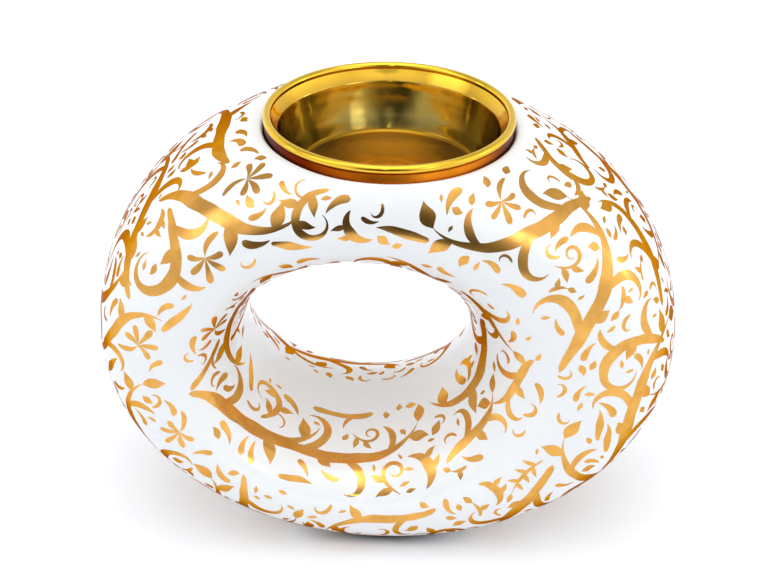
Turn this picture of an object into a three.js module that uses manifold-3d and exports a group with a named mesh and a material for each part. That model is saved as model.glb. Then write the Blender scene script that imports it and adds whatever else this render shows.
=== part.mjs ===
// Mabkhara incense burner: an upright porcelain ring with a brass charcoal cup in its crown.
// Millimetres, +Z up. The origin is on the surface it stands on, midway along its width and depth.
// The hole of the ring runs along Y, and the front faces -Y.

import * as THREE from 'three';
import { mergeVertices } from 'three/addons/utils/BufferGeometryUtils.js';
import Module from 'manifold-3d';

const wasm = await Module();
wasm.setup();

// Driving dimensions of the porcelain ring
const ringWidth = 170; // across the whole ring
const ringHeight = 135; // of the full oval, before the foot is ground flat
const crownShift = 1.5; // how far the crown stands left of the middle, and the foot right of it
const bandWidth = 52; // from the see-through hole to the outside, at the sides
const bandHeight = 39; // the same, above and below the hole
const shoulderWidth = 6.4; // of porcelain in front of the well and behind it, at the crown
const depthTaper = 5; // how much shallower than the crown the ring is at mid height
const holeShiftX = -9; // centre of the hole from the centre of the oval
const holeShiftZ = -2.2;
const footGrind = 1.8; // ground off the lowest point to make the flat foot
const bodyWall = 4.5; // wall of the casting
const ventDiameter = 7; // firing vent in the foot
const ventShiftY = 11; // the vent lies towards the back of the foot

// Shape of the ring's section: how far its shoulders swell past an ellipse's, as shares of its size
const outerSwellShare = 0.18;
const innerSwellShare = -0.04;
const widestShare = 0.48; // of the way from the hole to the outside, where the section is deepest

// Driving dimensions of the brass
const rimDiameter = 72.4; // over the cup's rolled bead
const beadDiameter = 2.4;
const cupSheet = 1; // thickness of the spun brass
const cupDepth = 17.7; // from the middle of the bead down to the floor
const lipWidth = 2.7; // from the middle of the bead in to the throat, where the lip meets the wall
const lipDrop = 3.8; // from the middle of the bead down to the throat
const wallLean = 6.7; // how far the edge of the flat floor stands inside the throat
const wallRound = 70; // radius of the wall's slow outward curve, in the middle of the sheet
const floorCorner = 2.2; // radius between wall and floor, in the middle of the sheet
const collarSheet = 0.7;
const collarSetIn = 0.9; // how far the collar's top edge stands inside the bead
const collarFlare = 0.5; // how much the collar widens from its top edge down to the porcelain
const collarStand = 1.8; // how far the collar stands out of the well
const collarSeat = 8.4; // how deep the collar goes into the well

// Driving dimensions of the well
const cupShiftX = -0.8; // axis of the cup and the well
const mouthSink = 7.5; // of the well's flat mouth below the crest that the ring would have
const mouthSettle = 2.5; // limit of how far the crown is raised or lowered to make the mouth flat
const mouthBlend = 12; // how far out from the well, and how deep below its mouth, this fades
const ledgeWidth = 2.4; // ledge that the collar stands on
const airGap = 2; // under the cup's floor
const wellCorner = 2; // inside radius at the well's floor

const clearance = 0.3; // between neighbouring pieces
const overrun = 2; // how far a cutting shape runs past what it cuts

// Facets
const turnSteps = 76; // round the hole
const rollSteps = 36; // round the section
const cavityTurnSteps = 44;
const cavityRollSteps = 20;
const latheSteps = 48;
const bendSteps = 5; // in a rounded corner of a turned profile
const beadSteps = 10; // round the bead

// Finishes
const glaze = { color: 0xf7f8f9, roughness: 0.08, metalness: 0 };
const cupBrass = { color: 0xd9a33a, roughness: 0.16, metalness: 1 };
const collarBrass = { color: 0xb97a2a, roughness: 0.2, metalness: 1 };

// Radii of the brass, the well and the hole, worked out from these

const rimRadius = rimDiameter / 2;
const beadRadius = beadDiameter / 2;
const throatRadius = rimRadius - beadRadius - lipWidth;
const floorRadius = throatRadius - wallLean;
const collarTopRadius = rimRadius - collarSetIn;
const collarRadius = collarTopRadius + collarFlare;
const wellRadius = collarRadius + clearance;
const holeRadiusX = ringWidth / 2 - bandWidth;
const holeRadiusZ = ringHeight / 2 - bandHeight;

// The ring

const halfHeight = ringHeight / 2;
const middleZ = halfHeight - footGrind;
const mouthZ = middleZ + halfHeight - mouthSink;
const crownHalfDepth = wellRadius + shoulderWidth;

// Half of the ring's depth at a turn round the hole, where a quarter turn is the crown
function halfDepthAt(turn) {
  return crownHalfDepth - (depthTaper * (1 - Math.sin(turn))) / 2;
}

// Place on the section at a roll round it: along is the share of the half depth, and blend the
// share of the way from the hole to the outside
function sectionPoint(roll) {
  const cosine = Math.cos(roll);
  const sine = Math.sin(roll);
  const outward = (1 + cosine) / 2;
  const swell = innerSwellShare + (outerSwellShare - innerSwellShare) * outward;
  const across = cosine * (1 + swell * sine ** 2);
  return {
    along: sine * (1 + swell * cosine ** 2),
    blend: (1 + across) / 2 - (1 / 2 - widestShare) * (1 - across ** 2),
  };
}

// How far a point of the crown is moved up or down so that the well's mouth lies flat
function mouthShift(x, y, z, mouth) {
  const out = Math.hypot(x - cupShiftX, y) - wellRadius;
  const near = 1 - THREE.MathUtils.smoothstep(out, 0, mouthBlend);
  const high = THREE.MathUtils.smoothstep(z, mouth - 1.5 * mouthBlend, mouth - mouthBlend / 2);
  return mouthSettle * Math.tanh((mouth - z) / mouthSettle) * near * high;
}

// A point on the ring: turn goes round the hole from +X by the crown, and roll goes round the
// section from its outermost line. Inset moves every wall into the porcelain.
function ringPoint(turn, roll, inset) {
  const outerX = (ringWidth / 2 - inset) * Math.cos(turn) - crownShift * Math.sin(turn);
  const outerZ = (halfHeight - inset) * Math.sin(turn);
  const innerX = holeShiftX + (holeRadiusX + inset) * Math.cos(turn);
  const innerZ = holeShiftZ + (holeRadiusZ + inset) * Math.sin(turn);
  const section = sectionPoint(roll);
  const x = innerX + (outerX - innerX) * section.blend;
  const y = (halfDepthAt(turn) - inset) * section.along;
  const z = middleZ + innerZ + (outerZ - innerZ) * section.blend;
  return new THREE.Vector3(x, y, z + mouthShift(x, y, z, mouthZ - inset));
}

function ringGeometry(inset, turns, rolls) {
  const positions = [];
  const indices = [];
  for (let i = 0; i < turns; i += 1) {
    for (let j = 0; j < rolls; j += 1) {
      const point = ringPoint((i / turns) * 2 * Math.PI, (j / rolls) * 2 * Math.PI, inset);
      positions.push(point.x, point.y, point.z);
      const nextI = (i + 1) % turns;
      const nextJ = (j + 1) % rolls;
      const here = i * rolls + j;
      const ahead = nextI * rolls + j;
      const aside = i * rolls + nextJ;
      const across = nextI * rolls + nextJ;
      indices.push(here, across, ahead, here, aside, across);
    }
  }
  const geometry = new THREE.BufferGeometry();
  geometry.setAttribute('position', new THREE.Float32BufferAttribute(positions, 3));
  geometry.setIndex(indices);
  return geometry;
}

// Heights of the well, the collar and the cup

const collarTopZ = mouthZ + collarStand;
const ledgeZ = mouthZ - collarSeat;
const beadZ = collarTopZ + clearance + beadRadius;
const floorZ = beadZ - cupDepth;
const wellFloorZ = floorZ - cupSheet - airGap;

// Turned profiles

function arc(centreX, centreY, radius, from, to, steps) {
  const points = [];
  for (let i = 0; i <= steps; i += 1) {
    const angle = from + ((to - from) * i) / steps;
    points.push(new THREE.Vector2(centreX + radius * Math.cos(angle), centreY + radius * Math.sin(angle)));
  }
  return points;
}

function turned(points) {
  return new THREE.LatheGeometry(points, latheSteps);
}

// One face of the cup from the axis out to the bead, at a distance outside the middle of the sheet
function cupFace(distance) {
  const bead = new THREE.Vector2(rimRadius - beadRadius, beadZ);
  const throat = new THREE.Vector2(throatRadius, beadZ - lipDrop);
  const lipAlong = bead.clone().sub(throat).normalize();
  const lipOut = new THREE.Vector2(lipAlong.y, -lipAlong.x);
  // The wall's curve leaves the floor's corner smoothly and ends at the throat
  const corner = new THREE.Vector2(floorRadius, floorZ - cupSheet / 2 + floorCorner);
  const away = throat.clone().sub(corner);
  const less = wallRound - floorCorner;
  const cosine = (wallRound ** 2 - less ** 2 - away.lengthSq()) / (2 * less * away.length());
  const lowTurn = away.angle() - Math.acos(cosine);
  const hub = new THREE.Vector2(Math.cos(lowTurn), Math.sin(lowTurn)).multiplyScalar(-less).add(corner);
  const wallOut = throat.clone().sub(hub).normalize();
  const highTurn = Math.atan2(wallOut.y, wallOut.x);
  const bisector = wallOut.clone().add(lipOut);
  bisector.multiplyScalar(distance / bisector.dot(wallOut));
  // The face stops where it runs into the bead
  const seam = Math.sqrt(beadRadius ** 2 - distance ** 2);
  return [
    new THREE.Vector2(0, corner.y - floorCorner - distance),
    ...arc(corner.x, corner.y, floorCorner + distance, -Math.PI / 2, lowTurn, bendSteps),
    ...arc(hub.x, hub.y, wallRound + distance, lowTurn, highTurn, bendSteps).slice(1, -1),
    throat.clone().add(bisector),
    bead.clone().addScaledVector(lipOut, distance).addScaledVector(lipAlong, -seam),
  ];
}

function cupProfile() {
  const outside = cupFace(cupSheet / 2);
  const inside = cupFace(-cupSheet / 2);
  const bead = new THREE.Vector2(rimRadius - beadRadius, beadZ);
  const start = outside.at(-1).clone().sub(bead).angle() - 2 * Math.PI;
  const end = inside.at(-1).clone().sub(bead).angle();
  const round = arc(bead.x, bead.y, beadRadius, start, end, beadSteps);
  return [...outside.slice(0, -1), ...round, ...inside.slice(0, -1).reverse()];
}

// The collar: a sleeve in the well, and above the porcelain a skirt that narrows to a rounded edge
function collarProfile() {
  const foot = ledgeZ + clearance;
  const edge = collarSheet / 2;
  return [
    new THREE.Vector2(collarRadius - collarSheet, foot),
    new THREE.Vector2(collarRadius, foot),
    new THREE.Vector2(collarRadius, mouthZ),
    ...arc(collarTopRadius - edge, collarTopZ - edge, edge, 0, Math.PI, bendSteps),
    new THREE.Vector2(collarRadius - collarSheet, mouthZ),
    new THREE.Vector2(collarRadius - collarSheet, foot),
  ];
}

// The well's hollow: a wide mouth for the collar, a ledge under it, and the space for the cup
function wellProfile() {
  const lower = wellRadius - ledgeWidth;
  const top = middleZ + halfHeight + overrun;
  return [
    new THREE.Vector2(0, wellFloorZ),
    ...arc(lower - wellCorner, wellFloorZ + wellCorner, wellCorner, -Math.PI / 2, 0, bendSteps),
    new THREE.Vector2(lower, ledgeZ),
    new THREE.Vector2(wellRadius, ledgeZ),
    new THREE.Vector2(wellRadius, top),
    new THREE.Vector2(0, top),
  ];
}

// The porcelain cup that holds the well, as it stands inside the ring
function casingProfile() {
  const radius = wellRadius + bodyWall;
  const floor = wellFloorZ - bodyWall;
  const bend = wellCorner + bodyWall;
  const top = middleZ + halfHeight + overrun;
  return [
    new THREE.Vector2(0, floor),
    ...arc(radius - bend, floor + bend, bend, -Math.PI / 2, 0, bendSteps),
    new THREE.Vector2(radius, top),
    new THREE.Vector2(0, top),
  ];
}

// Joins and cuts

function solid(geometry) {
  const bare = geometry.clone();
  bare.deleteAttribute('normal');
  bare.deleteAttribute('uv');
  const merged = mergeVertices(bare);
  return new wasm.Manifold(new wasm.Mesh({
    numProp: 3,
    vertProperties: merged.getAttribute('position').array,
    triVerts: new Uint32Array(merged.getIndex().array),
  }));
}

function geometryOf(manifold) {
  const mesh = manifold.getMesh();
  const geometry = new THREE.BufferGeometry();
  geometry.setAttribute('position', new THREE.BufferAttribute(mesh.vertProperties, 3));
  geometry.setIndex(new THREE.BufferAttribute(mesh.triVerts, 1));
  geometry.computeVertexNormals();
  return geometry;
}

// A turned shape stood upright on the cup's axis
function standing(points) {
  return turned(points).rotateX(Math.PI / 2).translate(cupShiftX, 0, 0);
}

// A block that takes away everything below a height
function below(height) {
  const thick = footGrind + height + overrun;
  return new THREE.BoxGeometry(ringWidth, 2 * crownHalfDepth, thick)
    .translate(0, 0, height - thick / 2);
}

function bodyGeometry() {
  const cavity = solid(ringGeometry(bodyWall, cavityTurnSteps, cavityRollSteps))
    .subtract(solid(below(bodyWall)))
    .subtract(solid(standing(casingProfile())));
  const ventLength = bodyWall + 2 * overrun;
  const vent = new THREE.CylinderGeometry(ventDiameter / 2, ventDiameter / 2, ventLength, latheSteps / 2)
    .rotateX(Math.PI / 2)
    .translate(0, ventShiftY, bodyWall / 2);
  const body = solid(ringGeometry(0, turnSteps, rollSteps))
    .subtract(solid(below(0)))
    .subtract(cavity)
    .subtract(solid(standing(wellProfile())))
    .subtract(solid(vent));
  return geometryOf(body);
}

// The assembly

function part(name, geometry, finish) {
  const mesh = new THREE.Mesh(geometry, new THREE.MeshStandardMaterial(finish));
  mesh.name = name;
  return mesh;
}

const burner = new THREE.Group();
burner.name = 'mabkhara';
burner.add(part('porcelain_body', bodyGeometry(), glaze));
burner.add(part('brass_collar', standing(collarProfile()), collarBrass));
burner.add(part('charcoal_cup', standing(cupProfile()), cupBrass));

export default burner;
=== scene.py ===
"""Mabkhara incense burner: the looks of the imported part.

Shapes are worked out in millimetres in the part's own frame: +Z up, the hole of the ring along Y and
the front facing -Y. They become metres where a mesh is made.
"""

import logging
import math
from dataclasses import dataclass
from enum import Enum
from typing import Callable, Sequence

import bpy
import numpy as np
from mathutils import Matrix, Vector


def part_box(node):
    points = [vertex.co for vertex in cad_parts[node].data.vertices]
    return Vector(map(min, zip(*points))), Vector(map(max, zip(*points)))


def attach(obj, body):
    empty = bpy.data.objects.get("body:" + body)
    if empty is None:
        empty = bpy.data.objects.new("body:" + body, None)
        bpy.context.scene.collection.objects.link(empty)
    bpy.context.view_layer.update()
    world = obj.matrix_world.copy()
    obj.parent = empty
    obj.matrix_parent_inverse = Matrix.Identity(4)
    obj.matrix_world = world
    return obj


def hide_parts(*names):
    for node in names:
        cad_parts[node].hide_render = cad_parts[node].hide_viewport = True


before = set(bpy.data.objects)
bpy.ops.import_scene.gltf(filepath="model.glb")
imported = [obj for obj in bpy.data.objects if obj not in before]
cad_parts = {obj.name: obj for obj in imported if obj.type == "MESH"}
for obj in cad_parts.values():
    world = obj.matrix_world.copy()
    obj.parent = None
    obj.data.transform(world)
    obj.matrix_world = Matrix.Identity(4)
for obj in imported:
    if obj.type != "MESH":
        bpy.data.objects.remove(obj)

Array = np.ndarray
Tree = bpy.types.NodeTree
Socket = bpy.types.NodeSocket
Span = tuple[float, float]
Tints = tuple[tuple[float, str], ...]

MM = 0.001
IMAGE_WIDTH = 779
SEED = 11

log = logging.getLogger("mabkhara")


# Helpers


def linear(colour: str) -> tuple[float, float, float, float]:
    """Turns an sRGB colour into the linear one that a shader takes.

    Args:
        colour: A hex value such as "#F4F5F7".

    Returns:
        Red, green and blue from 0 to 1 and an alpha of 1.
    """
    shares = [int(colour[k : k + 2], 16) / 255 for k in (1, 3, 5)]
    curve = [s / 12.92 if s <= 0.04045 else ((s + 0.055) / 1.055) ** 2.4 for s in shares]
    return (curve[0], curve[1], curve[2], 1.0)


def add_node(tree: Tree, kind: str, inputs: dict | None = None, **settings) -> bpy.types.Node:
    """Adds a node with its settings, values and links.

    Args:
        tree: The node tree to add it to.
        kind: The node's type name.
        inputs: For each input, by name or number, a value or the output that feeds it.
        settings: The node's own settings.

    Returns:
        The new node.
    """
    node = tree.nodes.new(kind)
    for name, value in settings.items():
        setattr(node, name, value)
    for name, value in (inputs or {}).items():
        if isinstance(value, Socket):
            tree.links.new(value, node.inputs[name])
        else:
            node.inputs[name].default_value = value
    return node


def new_material(name: str) -> tuple[bpy.types.Material, Tree, Socket]:
    """Makes a material that holds nothing but the place on the object.

    Args:
        name: The material's name.

    Returns:
        The material, its node tree and the place in metres.
    """
    material = bpy.data.materials.new(name)
    material.use_nodes = True
    material.node_tree.nodes.clear()
    return material, material.node_tree, add_node(material.node_tree, "ShaderNodeTexCoord").outputs["Object"]


def noise(tree: Tree, place: Socket, size: float, detail: float = 1.0) -> Socket:
    """Adds cloudy noise.

    Args:
        tree: The node tree.
        place: The place that it is worked out for.
        size: Size of the clouds in millimetres.
        detail: How many finer layers lie over them.

    Returns:
        A value that lies round 0.5.
    """
    inputs = {"Vector": place, "Scale": 1 / (size * MM), "Detail": detail}
    return add_node(tree, "ShaderNodeTexNoise", inputs).outputs["Fac"]


def compute(tree: Tree, operation: str, *values: Socket | float) -> Socket:
    """Adds a sum over one or two values, such as ABSOLUTE or MULTIPLY, and gives its result."""
    return add_node(tree, "ShaderNodeMath", dict(enumerate(values)), operation=operation).outputs[0]


def remap(tree: Tree, value: Socket, source: Span, target: Span = (0.0, 1.0), **settings) -> Socket:
    """Maps one range of values to another and holds the result inside it.

    Args:
        tree: The node tree.
        value: The value.
        source: The range that it comes from.
        target: The range that it is brought to.
        settings: The node's own settings.

    Returns:
        The mapped value.
    """
    ends = {"From Min": source[0], "From Max": source[1], "To Min": target[0], "To Max": target[1]}
    return add_node(tree, "ShaderNodeMapRange", {"Value": value, **ends}, **settings).outputs[0]


def blend(
    tree: Tree, share: Socket | float, first: Socket | str, second: Socket | str, kind: str = "MIX"
) -> Socket:
    """Blends two colours.

    Args:
        tree: The node tree.
        share: How much of the second one shows.
        first: A colour as a hex value or from a node.
        second: The other colour.
        kind: How the second one is laid over the first.

    Returns:
        The colour.
    """
    colours = {side: linear(c) if isinstance(c, str) else c for side, c in (("A", first), ("B", second))}
    node = add_node(tree, "ShaderNodeMix", {"Factor": share, **colours}, data_type="RGBA", blend_type=kind)
    return node.outputs["Result"]


def bump(tree: Tree, height: Socket, relief: Span, under: Socket | None = None) -> Socket:
    """Bends the shading by a height.

    Args:
        tree: The node tree.
        height: The height.
        relief: Strength of the bend, and the height of a value of 1 in millimetres.
        under: The shading direction that is bent, where it isn't the surface's own.

    Returns:
        The new shading direction.
    """
    inputs = {"Height": height, "Strength": relief[0], "Distance": relief[1] * MM}
    if under is not None:
        inputs["Normal"] = under
    return add_node(tree, "ShaderNodeBump", inputs).outputs["Normal"]


def principled(tree: Tree, inputs: dict) -> None:
    """Gives the material its surface: the shader with these inputs."""
    shader = add_node(tree, "ShaderNodeBsdfPrincipled", inputs)
    add_node(tree, "ShaderNodeOutputMaterial", {"Surface": shader.outputs[0]})


def mesh_object(
    name: str,
    points: Array,
    faces: Sequence[Array],
    material: bpy.types.Material,
    crease: float | None = None,
    normals: Array | None = None,
) -> bpy.types.Object:
    """Makes a smooth-shaded object at the origin with its place in its mesh.

    Args:
        name: The object's name.
        points: Corners in millimetres, one row each.
        faces: Arrays of corner numbers, with a column for each corner of a face.
        material: The finish.
        crease: The angle in degrees past which an edge is shaded sharp.
        normals: The direction that each corner is shaded by, where the faces' own won't do.

    Returns:
        The new object.
    """
    mesh = bpy.data.meshes.new(name)
    corners = np.concatenate([f.ravel() for f in faces]).astype(np.int32)
    sizes = np.concatenate([np.full(len(f), f.shape[1]) for f in faces])
    starts = np.concatenate([[0], np.cumsum(sizes)[:-1]]).astype(np.int32)
    mesh.vertices.add(len(points))
    mesh.loops.add(len(corners))
    mesh.polygons.add(len(sizes))
    mesh.vertices.foreach_set("co", (points * MM).astype(np.float32).ravel())
    mesh.loops.foreach_set("vertex_index", corners)
    mesh.polygons.foreach_set("loop_start", starts)
    mesh.update(calc_edges=True)
    if mesh.validate():
        log.warning("%s had faces that were mended", name)
    mesh.shade_smooth()
    if crease is not None:
        mesh.set_sharp_from_angle(angle=math.radians(crease))
    if normals is not None:
        mesh.normals_split_custom_set_from_vertices(normals.astype(np.float32))
    mesh.materials.append(material)
    made = bpy.data.objects.new(name, mesh)
    bpy.context.scene.collection.objects.link(made)
    return made


def smooth_step(share: Array) -> Array:
    """Rises from 0 to 1 with level ends: 3 s squared less 2 s cubed, with s held from 0 to 1."""
    held = np.clip(share, 0, 1)
    return held**2 * (3 - 2 * held)


def band(outer: Array, inner: Array) -> Array:
    """Quads between two closed loops of corners, facing whoever sees the loops run anticlockwise."""
    return np.stack([outer, np.roll(outer, -1), np.roll(inner, -1), inner], axis=1)


def arc(centre: Span, radius: float, start: float, end: float, steps: int) -> Array:
    """Points on a circle: the centre plus the radius along an angle that goes from start to end.

    Args:
        centre: Radius and height of the circle's centre.
        radius: Its radius.
        start: First angle in radians.
        end: Last angle in radians.
        steps: How many steps lie between them.

    Returns:
        One row of radius and height for each point.
    """
    angle = np.linspace(start, end, steps + 1)
    return np.stack([centre[0] + radius * np.cos(angle), centre[1] + radius * np.sin(angle)], axis=1)


def rounded(corner: Array, before: Array, after: Array, radius: float, steps: int) -> Array:
    """Rounds a corner of a path. The arc touches both legs at the radius times the tangent of half
    the angle turned, and its centre is a radius to the side of the first contact.

    Args:
        corner: The sharp corner.
        before: A point on the leg that leads to it.
        after: A point on the leg that leaves it.
        radius: Radius of the arc.
        steps: How many steps the arc has.

    Returns:
        The points that take the corner's place.
    """
    along = (corner - before) / np.linalg.norm(corner - before)
    away = (after - corner) / np.linalg.norm(after - corner)
    turned_by = math.atan2(along[0] * away[1] - along[1] * away[0], float(along @ away))
    side = math.copysign(1.0, turned_by) * np.array([-along[1], along[0]])
    centre = corner - along * radius * math.tan(abs(turned_by) / 2) + side * radius
    start = math.atan2(-side[1], -side[0])
    return arc((centre[0], centre[1]), radius, start, start + turned_by, steps)


def offset_path(path: Array, distance: float) -> Array:
    """Moves a path sideways by a distance, to the right of the way it runs.

    Args:
        path: Points of the path, with a bend's points close together.
        distance: How far to move it.

    Returns:
        The moved points: each goes along the average of its two neighbouring legs' normals.
    """
    legs = np.diff(path, axis=0)
    legs /= np.linalg.norm(legs, axis=1, keepdims=True)
    first = np.vstack([legs[:1], legs])
    second = np.vstack([legs, legs[-1:]])
    course = first + second
    course /= np.linalg.norm(course, axis=1, keepdims=True)
    stretch = 1 / np.sum(course * second, axis=1, keepdims=True)
    return path + np.stack([course[:, 1], -course[:, 0]], axis=1) * distance * stretch


def turned(profile: Array, axis_x: float, segments: int, closed: bool) -> tuple[Array, list[Array]]:
    """Turns a profile about an upright axis: each point goes round a circle of its radius.

    Args:
        profile: Rows of radius and height. Outward is to the right of the way it runs, and an open
            profile starts and ends on the axis.
        axis_x: Where the axis stands along X.
        segments: How many facets go round.
        closed: Whether the profile's last point joins its first.

    Returns:
        The points and the faces.
    """
    rings = profile if closed else profile[1:-1]
    angle = np.arange(segments) * 2 * np.pi / segments
    radius = rings[:, :1]
    height = np.broadcast_to(rings[:, 1:], (len(rings), segments))
    points = np.stack([axis_x + radius * np.cos(angle), radius * np.sin(angle), height], axis=2)
    loops = np.arange(len(rings) * segments).reshape(len(rings), segments)
    quads = [band(a, b) for a, b in zip(loops, loops[1:])]
    points = points.reshape(-1, 3)
    if closed:
        return points, [np.concatenate(quads + [band(loops[-1], loops[0])])]
    ends = np.array([[axis_x, 0.0, profile[0, 1]], [axis_x, 0.0, profile[-1, 1]]])
    first = np.full(segments, len(points))
    fan_in = np.stack([first, np.roll(loops[0], -1), loops[0]], axis=1)
    fan_out = np.stack([loops[-1], np.roll(loops[-1], -1), first + 1], axis=1)
    return np.vstack([points, ends]), [np.concatenate(quads), np.concatenate([fan_in, fan_out])]


# The ring


@dataclass(frozen=True)
class RingSurface:
    """The glazed surface of the ring, by two angles: turn goes round the hole from +X by the crown,
    and roll goes round the section from its outermost line. Sizes are millimetres."""

    width: float
    crown_depth: float
    well_x: float
    well_radius: float
    height: float = 135.0
    depth_taper: float = 5.0  # how much less deep its sides are than its crown, and twice that its foot
    crown_shift: float = 1.5  # how far the crown leans to the left
    hole_width: float = 66.0
    hole_height: float = 57.0
    hole_shift_x: float = -9.0
    hole_shift_z: float = -2.2
    foot_grind: float = 1.8  # what the ground foot takes off the height
    outer_swell: float = 0.18  # how far the section passes an ellipse at the outside
    inner_swell: float = -0.04
    widest: float = 0.48  # where the section is deepest, from the hole to the outside
    mouth_sink: float = 7.5  # how far the well's mouth lies under the crown's top
    mouth_settle: float = 2.5  # most that the mouth moves up or down
    mouth_blend: float = 12.0  # over what width it fades out
    mouth_reach: float = 18.0  # how far down it does

    def mouth_shift(self, x: Array, y: Array, z: Array) -> Array:
        """Gives how far the crown is moved up or down so that the well's mouth lies flat: the
        hyperbolic tangent of the height still missing, which limits it, times two smooth steps that
        fade out away from the well and below its mouth.

        Args:
            x: Places along X.
            y: Places along Y.
            z: Heights before the move.

        Returns:
            The moves.
        """
        mouth = self.height - self.foot_grind - self.mouth_sink
        near = 1 - smooth_step((np.hypot(x - self.well_x, y) - self.well_radius) / self.mouth_blend)
        high = smooth_step((z - mouth + self.mouth_reach) / self.mouth_blend)
        return self.mouth_settle * np.tanh((mouth - z) / self.mouth_settle) * near * high

    def point(self, turn: Array, roll: Array) -> Array:
        """Gives places on the surface. An outer oval and the hole's oval are joined at each turn, and
        the section runs between them: across is the cosine of the roll and along its sine, each
        swollen past an ellipse where both are large. Along times the half depth gives Y, and across,
        with its widest place shifted, gives the share of the way from the hole to the outside.

        Args:
            turn: Angles round the hole in radians.
            roll: Angles round the section in radians.

        Returns:
            Points, with a last axis of three.
        """
        cos_turn, sin_turn = np.cos(turn), np.sin(turn)
        cos_roll, sin_roll = np.cos(roll), np.sin(roll)
        swell = self.inner_swell + (self.outer_swell - self.inner_swell) * (1 + cos_roll) / 2
        across = cos_roll * (1 + swell * sin_roll**2)
        along = sin_roll * (1 + swell * cos_roll**2)
        share = (1 + across) / 2 - (0.5 - self.widest) * (1 - across**2)
        outer_x = self.width / 2 * cos_turn - self.crown_shift * sin_turn
        outer_z = self.height / 2 * sin_turn
        inner_x = self.hole_shift_x + self.hole_width / 2 * cos_turn
        inner_z = self.hole_shift_z + self.hole_height / 2 * sin_turn
        half_depth = (self.crown_depth - self.depth_taper * (1 - sin_turn)) / 2
        middle = self.height / 2 - self.foot_grind
        x = inner_x + (outer_x - inner_x) * share
        y = half_depth * along
        z = middle + inner_z + (outer_z - inner_z) * share
        return np.stack(np.broadcast_arrays(x, y, z + self.mouth_shift(x, y, z)), axis=-1)

    def tangents(self, turn: Array, roll: Array) -> tuple[Array, Array]:
        """Gives how fast the place moves with the turn and with the roll, by central differences.

        Args:
            turn: Angles round the hole.
            roll: Angles round the section.

        Returns:
            The two tangents, in millimetres per radian.
        """
        step = 1e-4
        by_turn = (self.point(turn + step, roll) - self.point(turn - step, roll)) / (2 * step)
        by_roll = (self.point(turn, roll + step) - self.point(turn, roll - step)) / (2 * step)
        return by_turn, by_roll

    def normal(self, turn: Array, roll: Array) -> Array:
        """Gives the outward normals: the cross product of the two tangents, made unit length.

        Args:
            turn: Angles round the hole.
            roll: Angles round the section.

        Returns:
            Unit vectors.
        """
        by_turn, by_roll = self.tangents(turn, roll)
        normal = np.cross(by_roll, by_turn)
        return normal / np.linalg.norm(normal, axis=-1, keepdims=True)

    def stepped(self, turn: Array, roll: Array, move: Array) -> tuple[Array, Array]:
        """Moves places a small way along the surface. The move is shared between the two tangents by
        the least squares, which takes their lengths and the angle between them into account.

        Args:
            turn: Angles round the hole.
            roll: Angles round the section.
            move: Moves in millimetres, with a last axis of three.

        Returns:
            The new turns and rolls.
        """
        by_turn, by_roll = self.tangents(turn, roll)
        pairs = ((by_turn, by_turn), (by_turn, by_roll), (by_roll, by_roll), (by_turn, move), (by_roll, move))
        aa, ab, bb, a_move, b_move = (np.sum(p * q, axis=-1) for p, q in pairs)
        scale = aa * bb - ab**2
        return turn + (bb * a_move - ab * b_move) / scale, roll + (aa * b_move - ab * a_move) / scale

    def solve(self, turn: Array, roll: Array, misses: Callable[[Array], Array]) -> tuple[Array, Array]:
        """Finds places where two measures are nil, by Newton's method from a first guess.

        Args:
            turn: First guess of the turns.
            roll: First guess of the rolls.
            misses: Gives the two measures of each point, with a last axis of two.

        Returns:
            The turns and rolls found.
        """
        step, rounds = 1e-5, 12
        for _ in range(rounds):
            miss = misses(self.point(turn, roll))
            by_turn = (misses(self.point(turn + step, roll)) - miss) / step
            by_roll = (misses(self.point(turn, roll + step)) - miss) / step
            scale = by_turn[..., 0] * by_roll[..., 1] - by_turn[..., 1] * by_roll[..., 0]
            turn = turn - (miss[..., 0] * by_roll[..., 1] - miss[..., 1] * by_roll[..., 0]) / scale
            roll = roll - (by_turn[..., 0] * miss[..., 1] - by_turn[..., 1] * miss[..., 0]) / scale
        return turn, roll


@dataclass(frozen=True)
class Well:
    """Heights and radii of the round well in the crown, in millimetres. The collar stands on its
    ledge, and the cup hangs clear of its floor."""

    axis_x: float
    radius: float
    ledge_z: float
    floor_z: float
    ledge_width: float = 2.4
    corner: float = 2.0
    lip: float = 1.2

    @staticmethod
    def of_frame(clearance: float = 0.3, air_gap: float = 2.0) -> "Well":
        """Works the well out from the boxes of the collar and the cup that stand in it.

        Args:
            clearance: Gap round and under the collar in millimetres.
            air_gap: Gap under the cup in millimetres.

        Returns:
            The well.
        """
        collar_low, collar_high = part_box("brass_collar")
        cup_low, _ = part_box("charcoal_cup")
        return Well(
            axis_x=(collar_low.x + collar_high.x) / 2 / MM,
            radius=(collar_high.x - collar_low.x) / 2 / MM + clearance,
            ledge_z=collar_low.z / MM - clearance,
            floor_z=cup_low.z / MM - air_gap,
        )


@dataclass(frozen=True)
class Window:
    """A block of grid lines left out of the ring's surface: turn lines from low to high, and roll
    lines up to reach on either side of the outermost one."""

    low: int
    high: int
    reach: int

    def border(self) -> tuple[Array, Array]:
        """Lists the corners round the window, anticlockwise as seen from outside.

        Returns:
            The turn line and the roll line of each corner.
        """
        turns, rolls = np.arange(self.low, self.high), np.arange(-self.reach, self.reach)
        sides = [
            (np.full(len(rolls), self.low), rolls),
            (turns, np.full(len(turns), self.reach)),
            (np.full(len(rolls), self.high), -rolls),
            (turns[::-1] + 1, np.full(len(turns), -self.reach)),
        ]
        return np.concatenate([s[0] for s in sides]), np.concatenate([s[1] for s in sides])


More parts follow.
